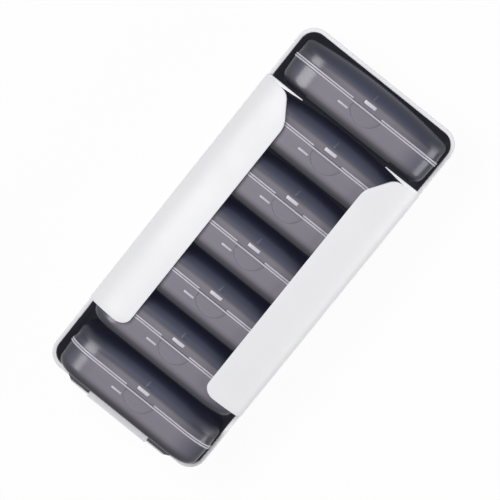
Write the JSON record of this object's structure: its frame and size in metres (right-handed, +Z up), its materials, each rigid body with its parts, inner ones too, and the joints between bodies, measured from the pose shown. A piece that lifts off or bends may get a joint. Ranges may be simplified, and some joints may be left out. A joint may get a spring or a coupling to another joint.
{
  "type": "compartment storage box",
  "caption": "Open holder with curled-in side flanges and a row of smoke-tinted clamshell cases standing on edge, each with a foot hinge, thumb recess and latch window.",
  "frame": {"origin": "middle of the footprint, on the surface the holder stands on", "axes": "+Z up, +Y along the row of cases towards the end with the chamfered flanges, +X across the holder"},
  "size_m": [0.105, 0.2374, 0.058],
  "materials": {
    "shell": "satin white",
    "liner": "satin black",
    "smoke_base": "translucent smoke grey",
    "smoke_lid": "translucent smoke grey",
    "pin": "dark grey"
  },
  "bodies": {
    "holder": {"outer_shell": "shell", "inner_liner": "liner"},
    "case_1": {"case_1_base": "smoke_base", "case_1_hinge_pin": "pin"},
    "lid_1": {"case_1_lid": "smoke_lid"},
    "case_2": {"case_2_base": "smoke_base", "case_2_hinge_pin": "pin"},
    "lid_2": {"case_2_lid": "smoke_lid"},
    "case_3": {"case_3_base": "smoke_base", "case_3_hinge_pin": "pin"},
    "lid_3": {"case_3_lid": "smoke_lid"},
    "case_4": {"case_4_base": "smoke_base", "case_4_hinge_pin": "pin"},
    "lid_4": {"case_4_lid": "smoke_lid"},
    "case_5": {"case_5_base": "smoke_base", "case_5_hinge_pin": "pin"},
    "lid_5": {"case_5_lid": "smoke_lid"},
    "case_6": {"case_6_base": "smoke_base", "case_6_hinge_pin": "pin"},
    "lid_6": {"case_6_lid": "smoke_lid"},
    "case_7": {"case_7_base": "smoke_base", "case_7_hinge_pin": "pin"},
    "lid_7": {"case_7_lid": "smoke_lid"}
  },
  "joints": [
    {"name": "case_1_lift", "type": "slide", "parent": "holder", "child": "case_1", "axis": [0, 0, 1], "range_m": [0, 0.06]},
    {"name": "lid_1_hinge", "type": "hinge", "parent": "case_1", "child": "lid_1", "pos_m": [0.0017, -0.09742, 0.0058], "axis": [-1, 0, 0], "range_deg": [0, 1.5]},
    {"name": "case_2_row_play", "type": "slide", "parent": "holder", "child": "case_2", "axis": [0, -1, 0], "range_m": [0, 0.0003]},
    {"name": "lid_2_hinge", "type": "hinge", "parent": "case_2", "child": "lid_2", "pos_m": [0, -0.06456, 0.0058], "axis": [-1, 0, 0], "range_deg": [0, 1.5]},
    {"name": "case_3_row_play", "type": "slide", "parent": "holder", "child": "case_3", "axis": [0, -1, 0], "range_m": [0, 0.0003]},
    {"name": "lid_3_hinge", "type": "hinge", "parent": "case_3", "child": "lid_3", "pos_m": [0, -0.03171, 0.0058], "axis": [-1, 0, 0], "range_deg": [0, 1.5]},
    {"name": "case_4_row_play", "type": "slide", "parent": "holder", "child": "case_4", "axis": [0, -1, 0], "range_m": [0, 0.0003]},
    {"name": "lid_4_hinge", "type": "hinge", "parent": "case_4", "child": "lid_4", "pos_m": [0, 0.00115, 0.0058], "axis": [-1, 0, 0], "range_deg": [0, 1.5]},
    {"name": "case_5_row_play", "type": "slide", "parent": "holder", "child": "case_5", "axis": [0, -1, 0], "range_m": [0, 0.0003]},
    {"name": "lid_5_hinge", "type": "hinge", "parent": "case_5", "child": "lid_5", "pos_m": [0, 0.03401, 0.0058], "axis": [-1, 0, 0], "range_deg": [0, 1.5]},
    {"name": "case_6_row_play", "type": "slide", "parent": "holder", "child": "case_6", "axis": [0, -1, 0], "range_m": [0, 0.0003]},
    {"name": "lid_6_hinge", "type": "hinge", "parent": "case_6", "child": "lid_6", "pos_m": [0, 0.06686, 0.0058], "axis": [-1, 0, 0], "range_deg": [0, 1.5]},
    {"name": "case_7_lift", "type": "slide", "parent": "holder", "child": "case_7", "axis": [0, 0, 1], "range_m": [0, 0.06]},
    {"name": "lid_7_hinge", "type": "hinge", "parent": "case_7", "child": "lid_7", "pos_m": [0.0008, 0.09972, 0.0058], "axis": [-1, 0, 0], "range_deg": [0, 1]}
  ]
}
